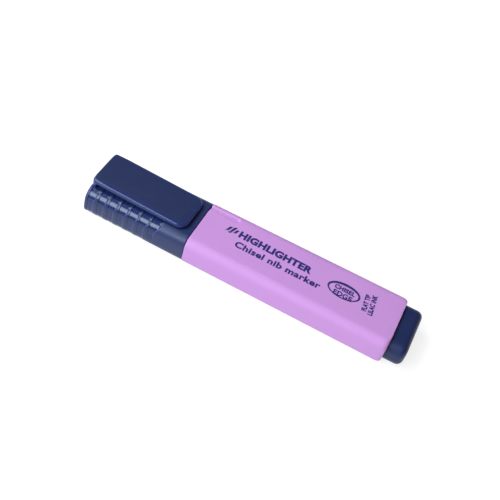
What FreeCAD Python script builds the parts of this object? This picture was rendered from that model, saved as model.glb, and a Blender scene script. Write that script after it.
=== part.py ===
import FreeCAD, Part
import math
import os

# A flat chisel-tip highlighter with its cap on, lying on its wide side with the clip up.
# Millimetres. +X runs from the cap's closed end to the butt, +Z is up, and the origin is
# on the table under the middle of the pen.

os.makedirs("parts", exist_ok=True)
Vec = FreeCAD.Vector

# Outside of the closed pen
total_length = 122.0
cap_length = 39.1
plug_stand_out = 6.8
thickness = 11.4
front_width = 24.2
butt_width = 25.2
side_radius = 3.4            # corner radius of the pen's section, from the cap's mouth to the butt
cap_end_radius = 4.4         # the cap's section grows rounder towards its closed end
wall = 1.15
parting_gap = 0.15
cap_edge = 0.4
rim_edge = 0.6
mouth_edge = 0.2
skim = 0.005                 # trimmed off above and below, so both flat sides are true planes
axis_height = thickness / 2
tiny = 1e-6                  # two lengths closer than this are the same

# Stations along the pen
cap_end = -total_length / 2
butt_end = total_length / 2
parting = cap_end + cap_length
barrel_front = parting + parting_gap
barrel_end = butt_end - plug_stand_out

# Clip
clip_width = 16.5
clip_thickness = 1.7
clip_reach = 36.7
clip_corner = 3.5
clip_edge = 0.5
clip_rear_top = 14.7
clip_tip_gap = 0.2
riser_depth = 1.8
riser_corner = 1.0
riser_foot = 0.8             # how deep the upright stands in the cap's wall
flexure_gap = 0.06

# Grip grooves round the sides of the cap
groove_count = 7
groove_pitch = 4.0
groove_floor = 2.3           # from the steep wall to the start of the ramp
groove_ramp = 0.5            # length of the slope back up to the raised band
groove_depth = 0.32
groove_first = 1.0           # from the closed end to the first steep wall
groove_start = 7.4           # half the width of the plain strip under the clip

# Fits
cap_clearance = 0.2
liner_clearance = 0.15
cap_end_wall = 1.6

# Sealing liner inside the cap
liner_length = 24.0
liner_floor = 0.9
liner_side_wall = 1.2
liner_top_wall = 0.9
liner_radius = 2.2
wing_thickness = 0.7
wing_length = 16.0

# Nib section
collar_length = 10.0
neck_length = 12.1
nose_width = 11.7
nose_radius = 2.05
nose_length = 14.0
nose_taper = 7.0
nose_tip_width = 8.2
nose_tip_height = 5.8
cup_wall = 1.0
cup_floor = 3.0
bead_height = 0.1
bead_length = 1.2
bead_setback = 3.4           # from the barrel's mouth to the bead that the cap snaps over
vent_width = 0.8
vent_depth = 0.45

# Nib
nib_width = 5.0
nib_height = 3.6
nib_radius = 0.9
nib_stand_out = 7.4
nib_slant = 2.2
nib_edge = 0.8
nib_bevel = 3.4
nib_root = 7.0               # how far the nib reaches into the ink core

# Ink core and its film sleeve
core_width = 18.8
core_height = 6.1
core_radius = 2.4
core_clearance = 0.15
film_thickness = 0.2
film_setback = 0.5
rear_play = 0.3              # between the core's rear and the butt plug

# Barrel details
end_wall = 3.0
rib_height = 1.2
rib_thickness = 0.8
rib_offset = 5.0
rib_end_gap = 0.5
rib_root = 0.2               # how far each rib reaches into the wall
rib_setback = 3.0            # from the nib section's collar to the front of the ribs
key_length = 11.6            # blind groove in the top face, beside the cap
key_width = 1.9
key_depth = 0.3
key_offset = 8.05

# Butt plug
plug_width = 22.2
plug_height = 9.6
plug_radius = 3.8
plug_round = 2.3
plug_gap = 0.15
plug_seat = 1.3
spigot_step = 0.8
spigot_length = 7.0
spigot_wall = 1.1
pocket_depth = 2.0           # how far the hollow runs on into the head
web_thickness = 1.0
web_root = 0.5               # how far the web reaches into the head
barb_height = 0.2
barb_length = 0.8
barb_width = 2.4
spigot_tail = barrel_end - plug_seat - spigot_length


def section(x, width, height, radius):
    """Rounded rectangle round the pen's axis, in the plane at x."""
    across = width / 2 - radius
    up = height / 2 - radius
    centres = [(across, up), (-across, up), (-across, -up), (across, -up)]
    arcs = []
    for quarter, (y, z) in enumerate(centres):
        turn = math.pi / 2 * quarter
        angles = [turn, turn + math.pi / 4, turn + math.pi / 2]
        arcs.append([Vec(x, y + radius * math.cos(a), axis_height + z + radius * math.sin(a))
                     for a in angles])
    edges = []
    for arc, following in zip(arcs, arcs[1:] + arcs[:1]):
        edges.append(Part.Arc(*arc).toShape())
        edges.append(Part.LineSegment(arc[2], following[0]).toShape())
    return Part.Wire(edges)


def bar(*stations):
    """Solid through rounded rectangles, each given as (x, width, height, radius)."""
    return Part.makeLoft([section(*station) for station in stations], True, True)


def flat_bar(*stations):
    """Bar made a touch too thick, then trimmed so that it lies on a plane top and bottom."""
    thick = bar(*[(x, width, height + 2 * skim, radius) for x, width, height, radius in stations])
    return thick.common(block((cap_end, -butt_width, 0), (butt_end, butt_width, thickness)))


def block(low, high):
    """Box between two corners."""
    size = Vec(*high) - Vec(*low)
    return Part.makeBox(size.x, size.y, size.z, Vec(*low))


def prism(points, direction):
    """Closed outline through the given points, carried along a direction."""
    return Part.Face(Part.makePolygon(points + points[:1])).extrude(direction)


def cap_station(x, inset=0.0):
    """The cap's outer section at x, moved inwards by inset."""
    share = (parting - x) / cap_length
    radius = side_radius + (cap_end_radius - side_radius) * share
    return (x, front_width - 2 * inset, thickness - 2 * inset, radius - inset)


def barrel_station(x, inset=0.0):
    """The barrel's outer section at x, moved inwards by inset."""
    share = (x - parting) / (barrel_end - parting)
    width = front_width + (butt_width - front_width) * share
    return (x, width - 2 * inset, thickness - 2 * inset, side_radius - inset)


def cap_grooves():
    """Grooves round both sides of the cap, each with a steep wall, a floor and a ramp.

    The last one stops halfway down the side.
    """
    clear = 1.0
    ramp_slope = groove_depth / groove_ramp
    rings = []
    for index in range(groove_count):
        x = cap_end + groove_first + index * groove_pitch
        floor_end = x + groove_floor
        end = floor_end + groove_ramp + skim / ramp_slope
        outside = bar(cap_station(x, -clear), cap_station(end, -clear))
        inside = bar(cap_station(x, groove_depth), cap_station(floor_end, groove_depth),
                     cap_station(end, -skim))
        low = axis_height if index == groove_count - 1 else -clear
        side = block((x - clear, groove_start, low), (end + clear, front_width, thickness + clear))
        ring = outside.cut(inside).common(side)
        rings.append(ring)
        rings.append(ring.mirror(Vec(0, 0, 0), Vec(0, 1, 0)))
    return rings


def clip_riser():
    """Upright at the closed end that carries the clip, its corners and top edge rounded."""
    half = clip_width / 2
    upright = block((cap_end, -half, thickness - riser_foot),
                    (cap_end + riser_depth, half, clip_rear_top))
    corners = [edge for edge in upright.Edges
               if all(abs(vertex.X - cap_end) < tiny for vertex in edge.Vertexes)
               and abs(edge.Vertexes[0].Y - edge.Vertexes[1].Y) < tiny]
    upright = upright.makeFillet(riser_corner, corners)
    top_edges = [edge for edge in upright.Edges
                 if all(abs(vertex.Z - clip_rear_top) < tiny for vertex in edge.Vertexes)
                 and min(vertex.X for vertex in edge.Vertexes) < cap_end + riser_corner + tiny]
    return upright.makeFillet(clip_edge, top_edges)


def clip_top(x):
    """Height of the clip's top face: level over the riser, then sloping down to the tip."""
    tip_top = thickness + clip_tip_gap + clip_thickness
    start = cap_end + riser_depth
    share = max(0.0, (x - start) / (cap_end + clip_reach - start))
    return clip_rear_top + (tip_top - clip_rear_top) * share


def cap_shell():
    """Cap with its closed end, grip grooves and clip riser."""
    outer = flat_bar(cap_station(cap_end, cap_edge), cap_station(cap_end + cap_edge),
                     cap_station(parting))
    hollow = bar(cap_station(cap_end + cap_end_wall, wall), cap_station(parting, wall))
    shell = outer.cut(hollow)
    shell = shell.cut(Part.makeCompound(cap_grooves()))
    return shell.fuse(clip_riser()).removeSplitter()


def clip_plate():
    """Clip from the riser to its tip: a sloping plate with rounded front corners."""
    rear = cap_end + riser_depth + flexure_gap
    front = cap_end + clip_reach
    half = clip_width / 2
    corner_x = front - clip_corner
    corner_y = half - clip_corner
    diagonal = clip_corner * math.sqrt(0.5)
    base = thickness - clip_thickness
    corners = [Vec(rear, -half, base), Vec(corner_x, -half, base), Vec(front, -corner_y, base),
               Vec(front, corner_y, base), Vec(corner_x, half, base), Vec(rear, half, base)]
    middles = [Vec(corner_x + diagonal, side * (corner_y + diagonal), base) for side in (-1, 1)]
    outline = Part.Wire([
        Part.LineSegment(corners[0], corners[1]).toShape(),
        Part.Arc(corners[1], middles[0], corners[2]).toShape(),
        Part.LineSegment(corners[2], corners[3]).toShape(),
        Part.Arc(corners[3], middles[1], corners[4]).toShape(),
        Part.LineSegment(corners[4], corners[5]).toShape(),
        Part.LineSegment(corners[5], corners[0]).toShape(),
    ])
    column = Part.Face(outline).extrude(Vec(0, 0, thickness))
    slope = [Vec(rear, -half - 1, clip_top(rear)), Vec(front + 1, -half - 1, clip_top(front + 1)),
             Vec(front + 1, -half - 1, clip_top(front + 1) - clip_thickness),
             Vec(rear, -half - 1, clip_top(rear) - clip_thickness)]
    plate = column.common(prism(slope, Vec(0, clip_width + 2, 0)))
    top_edges = [edge for edge in plate.Edges
                 if all(abs(vertex.Z - clip_top(vertex.X)) < tiny for vertex in edge.Vertexes)
                 and max(vertex.X for vertex in edge.Vertexes) > rear + 1]
    return plate.makeFillet(clip_edge, top_edges)


def cap_liner():
    """Cup that seals round the nose of the nib section, with a centring wing on each side."""
    start = cap_end + cap_end_wall
    inner_width = nose_width + 2 * liner_clearance
    outer_width = inner_width + 2 * liner_side_wall
    outer_height = thickness - 2 * wall
    inner_height = outer_height - 2 * liner_top_wall
    outer_radius = liner_radius + liner_top_wall
    cup = bar((start, outer_width, outer_height, outer_radius),
              (start + liner_length, outer_width, outer_height, outer_radius))
    reach = front_width / 2 - wall - liner_clearance
    half = wing_thickness / 2
    wings = block((start, -reach, axis_height - half),
                  (start + wing_length, reach, axis_height + half))
    hollow = bar((start + liner_floor, inner_width, inner_height, liner_radius),
                 (start + liner_length, inner_width, inner_height, liner_radius))
    return cup.fuse(wings).cut(hollow).removeSplitter()


def barrel_shell():
    """Barrel open at the front, with an end wall that the butt plug is pressed through."""
    soft = rim_edge * math.sqrt(0.5)
    outer = flat_bar(barrel_station(barrel_front, mouth_edge),
                     barrel_station(barrel_front + mouth_edge),
                     barrel_station(barrel_end - rim_edge),
                     barrel_station(barrel_end - rim_edge + soft, rim_edge - soft),
                     barrel_station(barrel_end, rim_edge))
    hollow = bar(barrel_station(barrel_front, wall), barrel_station(barrel_end - end_wall, wall))
    seat = bar((barrel_end - plug_seat, plug_width + 2 * plug_gap, plug_height + 2 * plug_gap,
                plug_radius + plug_gap),
               (barrel_end + 1, plug_width + 2 * plug_gap, plug_height + 2 * plug_gap,
                plug_radius + plug_gap))
    bore = bar(spigot_station(barrel_end - end_wall - 1), spigot_station(barrel_end))
    shell = outer.cut(hollow).cut(seat).cut(bore).cut(key_groove())
    return shell.fuse(core_ribs()).removeSplitter()


def key_groove():
    """Shallow groove in the far side of the top face, open at the cap and round at its end."""
    end = barrel_front + key_length - key_width / 2
    depth = thickness - key_depth
    run = block((barrel_front - 1, key_offset - key_width / 2, depth),
                (end, key_offset + key_width / 2, thickness + 1))
    tip = Part.makeCylinder(key_width / 2, key_depth + 1, Vec(end, key_offset, depth))
    return run.fuse(tip)


def core_ribs():
    """Four ribs along the inside of the barrel that hold the ink core off its walls."""
    low = barrel_front + collar_length + rib_setback
    high = spigot_tail - rib_end_gap
    ribs = []
    for across in (-rib_offset, rib_offset):
        for side in (-1, 1):
            face = side * (thickness / 2 - wall)
            z_pair = sorted([face + side * rib_root, face - side * rib_height])
            ribs.append(block((low, across - rib_thickness / 2, axis_height + z_pair[0]),
                              (high, across + rib_thickness / 2, axis_height + z_pair[1])))
    return ribs


def spigot_station(x, inset=0.0):
    """Section of the plug's spigot and of the bore it is pressed into."""
    step = 2 * spigot_step + 2 * inset
    return (x, plug_width - step, plug_height - step, plug_radius - inset)


def end_plug():
    """Butt plug: rounded head, hollow spigot with a stiffening web, and retaining barbs."""
    shoulder = barrel_end - plug_seat
    head = bar((shoulder, plug_width, plug_height, plug_radius),
               (butt_end, plug_width, plug_height, plug_radius))
    end_edges = [edge for edge in head.Edges
                 if all(abs(vertex.X - butt_end) < tiny for vertex in edge.Vertexes)]
    head = head.makeFillet(plug_round, end_edges)
    spigot = bar(spigot_station(spigot_tail), spigot_station(shoulder))
    pocket = bar(spigot_station(spigot_tail, spigot_wall),
                 spigot_station(shoulder + pocket_depth, spigot_wall))
    web_height = plug_height / 2 - spigot_step - spigot_wall / 2
    web = block((spigot_tail, -web_thickness / 2, axis_height - web_height),
                (shoulder + pocket_depth + web_root, web_thickness / 2,
                 axis_height + web_height))
    inner_face = barrel_end - end_wall
    half = plug_width / 2 - spigot_step
    root = half - barb_height
    barbs = [prism([Vec(inner_face, side * root, axis_height - barb_width / 2),
                    Vec(inner_face, side * (half + barb_height), axis_height - barb_width / 2),
                    Vec(inner_face - barb_length, side * root, axis_height - barb_width / 2)],
                   Vec(0, 0, barb_width)) for side in (-1, 1)]
    return head.fuse(spigot).cut(pocket).fuse([web] + barbs).removeSplitter()


def nib_section():
    """Holder pressed into the barrel: collar, neck for the cap, and nose round the nib."""
    shoulder = barrel_front - neck_length
    nose_front = shoulder - nose_length
    collar_end = barrel_front + collar_length
    width = front_width - 2 * wall
    height = thickness - 2 * wall
    radius = side_radius - wall
    inset = wall + cap_clearance
    collar = bar((barrel_front, width, height, radius), (collar_end, width, height, radius))
    neck = bar(cap_station(shoulder, inset), cap_station(barrel_front, inset))
    nose_height = height - 2 * liner_top_wall - 2 * liner_clearance
    nose = bar((nose_front, nose_tip_width, nose_tip_height, nose_radius),
               (nose_front + nose_taper, nose_width, nose_height, nose_radius),
               (shoulder, nose_width, nose_height, nose_radius))
    bead_middle = barrel_front - bead_setback
    bead = bar(cap_station(bead_middle - bead_length / 2, inset),
               cap_station(bead_middle, inset - bead_height),
               cap_station(bead_middle + bead_length / 2, inset))
    cup = cup_size()
    hollow = bar((shoulder + cup_floor, *cup), (collar_end, *cup))
    slot = bar((nose_front - 1, nib_width, nib_height, nib_radius),
               (shoulder + cup_floor + 1, nib_width, nib_height, nib_radius))
    vent = block((nose_front - 1, -vent_width / 2, axis_height - nib_height / 2 - vent_depth),
                 (shoulder + cup_floor + 1, vent_width / 2,
                  axis_height + nib_height / 2 + vent_depth))
    body = collar.fuse([neck, nose, bead])
    return body.cut(hollow).cut(slot).cut(vent).removeSplitter()


def cup_size():
    """Width, height and corner radius of the holder's rear cup, which takes the ink core."""
    margin = 2 * (film_thickness + core_clearance)
    return (core_width + margin, core_height + margin, core_radius + margin / 2)


def nib():
    """Felt wedge: a bar whose front is cut on a slant and bevelled from above and below."""
    front = barrel_front - neck_length - nose_length - nib_stand_out
    root = barrel_front - neck_length + cup_floor + nib_root
    stick = bar((front - 1, nib_width, nib_height, nib_radius),
                (root, nib_width, nib_height, nib_radius))
    side = nib_width / 2
    drift = nib_slant / nib_width
    start = Vec(front - drift, side + 1, axis_height)
    profile = [(0, -nib_edge / 2), (nib_bevel, -nib_height / 2), (root - front + 5, -nib_height / 2),
               (root - front + 5, nib_height / 2), (nib_bevel, nib_height / 2), (0, nib_edge / 2)]
    outline = [start + Vec(x, 0, z) for x, z in profile]
    wedge = prism(outline, Vec(drift * (nib_width + 2), -nib_width - 2, 0))
    return stick.common(wedge)


def core_span():
    """Front and rear of the ink core."""
    return (barrel_front - neck_length + cup_floor, spigot_tail - rear_play)


def ink_core():
    """Fibre reservoir with the socket that the nib's root sits in."""
    front, rear = core_span()
    core = bar((front, core_width, core_height, core_radius),
               (rear, core_width, core_height, core_radius))
    socket = bar((front - 1, nib_width, nib_height, nib_radius),
                 (front + nib_root, nib_width, nib_height, nib_radius))
    return core.cut(socket)


def core_film():
    """Thin plastic sleeve round the ink core, open at both ends."""
    front, rear = core_span()
    front += film_setback
    rear -= film_setback
    grow = 2 * film_thickness
    sleeve = bar((front, core_width + grow, core_height + grow, core_radius + film_thickness),
                 (rear, core_width + grow, core_height + grow, core_radius + film_thickness))
    core = bar((front, core_width, core_height, core_radius),
               (rear, core_width, core_height, core_radius))
    return sleeve.cut(core)


nodes = {
    "cap_shell": cap_shell(),
    "cap_liner": cap_liner(),
    "clip": clip_plate(),
    "barrel_shell": barrel_shell(),
    "end_plug": end_plug(),
    "nib_section": nib_section(),
    "nib": nib(),
    "ink_core": ink_core(),
    "core_film": core_film(),
}
for name, shape in nodes.items():
    print(name, "solids", len(shape.Solids), "valid", shape.isValid(), "volume", round(shape.Volume, 1))
    shape.exportStep("parts/" + name + ".step")
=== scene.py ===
import math
import bpy
import numpy as np
from mathutils import Matrix, Vector


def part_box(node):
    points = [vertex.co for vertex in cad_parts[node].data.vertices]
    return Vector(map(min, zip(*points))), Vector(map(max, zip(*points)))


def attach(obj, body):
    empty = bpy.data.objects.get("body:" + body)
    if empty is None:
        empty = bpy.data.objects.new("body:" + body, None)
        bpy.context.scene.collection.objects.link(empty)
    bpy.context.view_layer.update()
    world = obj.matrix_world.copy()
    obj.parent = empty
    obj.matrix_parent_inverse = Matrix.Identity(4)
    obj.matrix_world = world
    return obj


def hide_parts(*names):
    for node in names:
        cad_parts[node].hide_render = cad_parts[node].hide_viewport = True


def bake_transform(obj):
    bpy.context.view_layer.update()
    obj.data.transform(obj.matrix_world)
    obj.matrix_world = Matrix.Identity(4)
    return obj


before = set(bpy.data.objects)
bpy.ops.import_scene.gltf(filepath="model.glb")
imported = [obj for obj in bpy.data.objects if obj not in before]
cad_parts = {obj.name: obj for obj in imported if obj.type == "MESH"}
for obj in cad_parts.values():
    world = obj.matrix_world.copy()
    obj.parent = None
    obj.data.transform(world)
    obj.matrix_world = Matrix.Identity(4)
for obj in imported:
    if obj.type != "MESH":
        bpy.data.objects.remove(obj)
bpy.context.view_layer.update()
mm = 0.001


def boxMm(node):
    # lowest and highest corner of a frame node, in millimetres
    low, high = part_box(node)
    return np.array(low) / mm, np.array(high) / mm


capLow, capHigh = boxMm("cap_shell")
barrelLow, barrelHigh = boxMm("barrel_shell")
plugLow, plugHigh = boxMm("end_plug")
clipLow, clipHigh = boxMm("clip")
sectionLow, sectionHigh = boxMm("nib_section")
nibLow, nibHigh = boxMm("nib")

pen = {
    "thickness": barrelHigh[2] - barrelLow[2],
    "frontWidth": capHigh[1] - capLow[1],
    "buttWidth": barrelHigh[1] - barrelLow[1],
    "sideRadius": 3.3,
    "sideBow": 0.15,         # how far the sides bulge between their corners
    "capRadii": (3.3, 3.8),  # at the cap's mouth and at its closed end
    "capBows": (0.5, 0.65),
    "wall": 1.15,
    "plugRadius": 4.0,
}
axisHeight = pen["thickness"] / 2
roundness = 0.5523           # handle length of a cubic curve that stands for a quarter circle
print("frame loaded:", len(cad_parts), "nodes")


# grid surfaces

def ringTable(top, side, arc, extraTop=()):
    # One turn round a rounded rectangle, as rows (a, b, angle). A point on it is
    # y = a * (w/2 - r) + r cos(angle), z = b * (h/2 - r) + r sin(angle):
    # on an arc a and b stay at +-1 and the angle turns, on a flat side the angle stays.
    quarter = np.linspace(0, np.pi / 2, arc, endpoint=False)
    topRun = np.unique(np.concatenate([np.linspace(-1, 1, top), np.array(extraTop)]))[::-1][:-1]
    sideRun = np.linspace(1, -1, side)[:-1]
    bottomRun = np.linspace(-1, 1, top)[:-1]
    one = np.ones
    pieces = [
        (one(arc), one(arc), quarter),
        (topRun, one(topRun.size), np.full(topRun.size, np.pi / 2)),
        (-one(arc), one(arc), quarter + np.pi / 2),
        (-one(sideRun.size), sideRun, np.full(sideRun.size, np.pi)),
        (-one(arc), -one(arc), quarter + np.pi),
        (bottomRun, -one(bottomRun.size), np.full(bottomRun.size, 1.5 * np.pi)),
        (one(arc), -one(arc), quarter + 1.5 * np.pi),
        (one(sideRun.size), -sideRun, np.full(sideRun.size, 2 * np.pi)),
    ]
    return np.concatenate([np.stack(p, 1) for p in pieces])


def softPath(points, step=1.0, arcStep=0.12):
    # Rows (x, width, height, radius) along a polygon whose corners are rounded. Each point
    # is (x, width, height, radius, blend): round it the path follows a cubic curve that
    # starts and ends at distance blend from the point, which is close to a quarter circle.
    # Rows are step apart on the straight runs and about arcStep apart round the corners.
    spots = np.array([p[:4] for p in points], float)
    halves = spots * np.array([1, 0.5, 0.5, 1])
    rows = [spots[0]]
    for k in range(1, len(points)):
        before, here = rows[-1], spots[k]
        blend = points[k][4] if k < len(points) - 1 else 0
        run = np.linalg.norm((halves[k] - before * [1, 0.5, 0.5, 1])[:3])
        start = here + (before - here) * min(1, blend / max(run, 1e-9))
        count = max(1, int(np.ceil((run - blend) / step)))
        rows.extend(before + (start - before) * s for s in np.linspace(0, 1, count + 1)[1:])
        if blend:
            ahead = np.linalg.norm((halves[k + 1] - halves[k])[:3])
            end = here + (spots[k + 1] - here) * min(1, blend / ahead)
            one, two = start + (here - start) * roundness, end + (here - end) * roundness
            turns = max(3, int(np.ceil(1.6 * blend / arcStep)))
            for s in np.linspace(0, 1, min(turns, 14) + 1)[1:]:
                rows.append((1 - s) ** 3 * start + 3 * s * (1 - s) ** 2 * one
                            + 3 * s * s * (1 - s) * two + s ** 3 * end)
    return np.array(rows)


def ringGrid(rows, table, bow=0.0):
    # The rounded rectangle of the table, carried along rows of (x, width, height, radius).
    # bow pulls the corners in, so that the sides bulge by that much at mid height: the
    # shift in y is bow * a^3 * (z / half height)^2.
    x, w, h, r = (rows[:, k, None] for k in range(4))
    a, b, angle = (table[None, :, k] for k in range(3))
    y = a * (w / 2 - r) + r * np.cos(angle)
    z = b * (h / 2 - r) + r * np.sin(angle)
    lean = np.abs(z) / np.maximum(h / 2, 1e-6)
    y = y - a ** 3 * np.reshape(bow, (-1, 1)) * lean ** 2
    return np.stack([x + 0 * y, y, z + axisHeight], -1)


def meshFrom(name, points, faces):
    # A mesh of points in millimetres and polygons of 3 or 4 corners, turned outwards by
    # the sign of its volume.
    mesh = bpy.data.meshes.new(name)
    points = np.asarray(points, float).reshape(-1, 3)
    sizes = np.concatenate([np.full(len(f), f.shape[1]) for f in faces])
    corners = np.concatenate([f.ravel() for f in faces])
    fans = np.concatenate([f[:, [0, k, k + 1]] for f in faces for k in range(1, f.shape[1] - 1)])
    p, q, r = (points[fans[:, k]] for k in range(3))
    if np.einsum("ij,ij->i", p, np.cross(q, r)).sum() < 0:
        corners = np.concatenate([f[:, ::-1].ravel() for f in faces])
    mesh.vertices.add(len(points))
    mesh.vertices.foreach_set("co", (points * mm).astype(np.float32).ravel())
    mesh.loops.add(len(corners))
    mesh.loops.foreach_set("vertex_index", corners.astype(np.int32))
    mesh.polygons.add(len(sizes))
    starts = np.concatenate([[0], np.cumsum(sizes)[:-1]])
    mesh.polygons.foreach_set("loop_start", starts.astype(np.int32))
    mesh.update(calc_edges=True)
    mesh.validate()
    mesh.shade_smooth()
    piece = bpy.data.objects.new(name, mesh)
    bpy.context.scene.collection.objects.link(piece)
    return piece


def gridFaces(rows, cols, wrapRows=False):
    # quads between neighbouring rows and columns of a grid, whose columns close into rings
    i = np.arange(rows if wrapRows else rows - 1)
    i, j = (k.ravel() for k in np.meshgrid(i, np.arange(cols), indexing="ij"))
    down, right = (i + 1) % rows, (j + 1) % cols
    return np.stack([i * cols + j, i * cols + right, down * cols + right, down * cols + j], 1)


def tubeMesh(name, grid, loop=False, startPole=False, endPole=False):
    # A grid whose columns close into rings. loop joins the last ring to the first, and a
    # pole closes an end with a fan round the ring's middle.
    rows, cols = grid.shape[:2]
    points = grid.reshape(-1, 3)
    faces = [gridFaces(rows, cols, wrapRows=loop)]
    ring = np.arange(cols)
    for isOn, row in ((startPole, 0), (endPole, rows - 1)):
        if isOn:
            points = np.concatenate([points, grid[row].mean(0, keepdims=True)])
            tip = np.full(cols, len(points) - 1)
            nextRing = (ring + 1) % cols
            fan = [ring + row * cols, nextRing + row * cols, tip]
            faces.append(np.stack(fan if row else fan[::-1], 1))
    return meshFrom(name, points, faces)


def setAttribute(piece, name, values):
    # one number for each vertex, read by the piece's material
    layer = piece.data.attributes.new(name, "FLOAT", "POINT")
    padded = np.zeros(len(piece.data.vertices), np.float32)
    padded[:values.size] = values.ravel()
    layer.data.foreach_set("value", padded)


def smooth(low, high, value):
    # 0 up to low, 1 from high, and 3 t^2 - 2 t^3 in between
    t = np.clip((value - low) / (high - low), 0, 1)
    return t * t * (3 - 2 * t)


# barrel

barrel = {
    "front": barrelLow[0],
    "end": barrelHigh[0],
    "lipRound": 0.35,
    "rimRun": 1.8,           # over the last stretch the barrel is rounded in
    "rimSteps": (0.0, 0.3, 0.5, 0.68, 0.82, 0.93),
    "rimTaper": 0.45,
    "rimDrop": 0.1,
    "rimCorner": 1.6,
    "rimRound": 0.35,
    "seatGap": 0.25,
    "seatDepth": 1.3,
    "seatRound": 0.15,
    "boreStep": 0.8,         # from the plug's outline in to the hole in the end wall
    "endWall": 3.0,
    "keyLength": 11.6,
    "keyWidth": 2.3,
    "keyDepth": 0.38,
    "keyOffset": 7.95,
    "keyFloor": 0.58,        # share of the half width that is floor
    "keyStep": 0.17,         # the grid is this fine along the groove
    "keyMargin": 1.4,        # and it has keyLines lines this far to both sides of its middle
    "keyLines": 34,
}


def barrelSection(x, inset=0.0):
    # (x, width, height, radius) of the barrel at x, moved inwards by inset
    share = (x - capHigh[0]) / (barrel["end"] - capHigh[0])
    width = pen["frontWidth"] + (pen["buttWidth"] - pen["frontWidth"]) * share
    return [x, width - 2 * inset, pen["thickness"] - 2 * inset, pen["sideRadius"] - inset]


def rimSection(t):
    # The barrel's section over the rounded stretch, t from 0 to 1: a quarter ellipse, whose
    # share 1 - sqrt(1 - t^2) draws the sides in and makes the corners rounder.
    b = barrel
    share = 1 - math.sqrt(1 - t * t)
    x, width, height, radius = barrelSection(b["end"] - b["rimRun"] * (1 - t))
    return [x, width - 2 * b["rimTaper"] * share, height - 2 * b["rimDrop"] * share,
            radius + b["rimCorner"] * share]


def keyDent(x, y):
    # Depth of the blind groove: a channel along X with a round end, deepest along its
    # middle line and eased up to the surface at half its width.
    half = barrel["keyWidth"] / 2
    along = np.maximum(0, x - (barrel["front"] + barrel["keyLength"] - half))
    reach = np.hypot(along, y - barrel["keyOffset"]) / half
    return barrel["keyDepth"] * (1 - smooth(barrel["keyFloor"], 1.0, reach))


def makeBarrel():
    # One closed wall: outside from the mouth to the rim, over the rim into the plug's seat,
    # through the end wall, and back along the inside to the mouth.
    b, wall = barrel, pen["wall"]
    plugWidth, plugHeight = plugHigh[1] - plugLow[1], plugHigh[2] - plugLow[2]
    seat = [plugWidth + 2 * b["seatGap"], plugHeight + 2 * b["seatGap"],
            pen["plugRadius"] + b["seatGap"]]
    bore = [plugWidth - 2 * b["boreStep"], plugHeight - 2 * b["boreStep"],
            pen["plugRadius"] - b["boreStep"] / 2]
    points = [
        barrelSection(b["front"] + 6) + [0],
        *[rimSection(t) + [0.02] for t in b["rimSteps"]],
        rimSection(1.0) + [b["rimRound"]],
        [b["end"], *seat, b["seatRound"]],
        [b["end"] - b["seatDepth"], *seat, 0.1],
        [b["end"] - b["seatDepth"], *bore, 0.1],
        [b["end"] - b["endWall"], *bore, 0.1],
        barrelSection(b["end"] - b["endWall"], wall) + [0.3],
        barrelSection(b["front"], wall) + [0.2],
        barrelSection(b["front"]) + [b["lipRound"]],
        barrelSection(b["front"] + 1) + [0],
    ]
    rows = softPath(points, step=1.6)
    keyZone = np.arange(b["front"] + 1.2, b["front"] + b["keyLength"] + 1.5, b["keyStep"])
    outside = np.array([barrelSection(x) for x in keyZone])
    # the fine rows take the place of the first coarse ones
    rows = rows[rows[:, 0] >= b["front"]]
    rest = rows[1:][(rows[1:, 0] > keyZone[-1]) | (np.arange(1, len(rows)) > 6)]
    rows = np.concatenate([outside, rest])
    flat = pen["frontWidth"] / 2 - pen["sideRadius"]
    extra = np.linspace(b["keyOffset"] - b["keyMargin"], b["keyOffset"] + b["keyMargin"],
                        b["keyLines"]) / flat
    table = ringTable(26, 9, 14, extra[np.abs(extra) < 1])
    grid = ringGrid(rows, table, pen["sideBow"])
    up = (table[:, 2] > np.pi / 4) & (table[:, 2] < 3 * np.pi / 4)
    isTop = up[None, :] & (np.abs(grid[..., 2] - pen["thickness"]) < 0.6)
    grid[..., 2] -= np.where(isTop, keyDent(grid[..., 0], grid[..., 1]), 0)
    return tubeMesh("barrelSkin", grid, loop=True)


barrelSkin = makeBarrel()
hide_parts("barrel_shell")
print("barrel made:", len(barrelSkin.data.polygons), "faces")


# cap

cap = {
    "end": capLow[0],
    "mouth": capHigh[0],
    "edgeRound": 0.42,
    "mouthRound": 0.3,
    "endWall": 1.6,
    "grooves": 7,
    "pitch": 4.0,
    "firstGroove": 1.0,           # from the closed end to the first steep wall
    "grooveStart": 7.2,           # half the width of the plain strip under the clip
    "sideDepth": 0.2,
    "cornerDepth": 0.29,
    "cornerRise": (-1.0, 5.2),    # over these heights above the axis the grooves get deeper
    "lowDepth": 0.08,
    "lowFall": (1.5, 4.8),        # and over these below it they get shallower
    "sideFade": (-0.5, 0.6),      # they begin over this stretch round grooveStart
    "lastFade": (-0.9, 0.6),      # over these heights the last one runs out
    "wallRun": 0.07,              # length along X of a groove's steep wall
    "wallRows": (-0.05, 0.0, 0.035, 0.07, 0.12),
    "floorRows": (0.3, 3.8, 17),  # first, last and number of grid rows on floor and ramp
    "floorShare": 0.56,           # how much of the pitch is polished floor on the side
    "cornerShare": (0.10, 0.035),  # more of it at the top corner, and again for each groove
    "rampRun": 0.35,
    "bandGloss": 0.66,            # the raised bands shine more than the plain front
}


def capSection(x, inset=0.0):
    # (x, width, height, radius) of the cap at x, moved inwards by inset
    radius = np.interp(x, [cap["end"], cap["mouth"]], pen["capRadii"][::-1])
    return [x, pen["frontWidth"] - 2 * inset, pen["thickness"] - 2 * inset, radius - inset]


def capBow(x):
    # how far the cap's sides bulge at x, between the mouth's bulge and the closed end's
    return np.interp(x, [cap["end"], cap["mouth"]], pen["capBows"][::-1])


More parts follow.
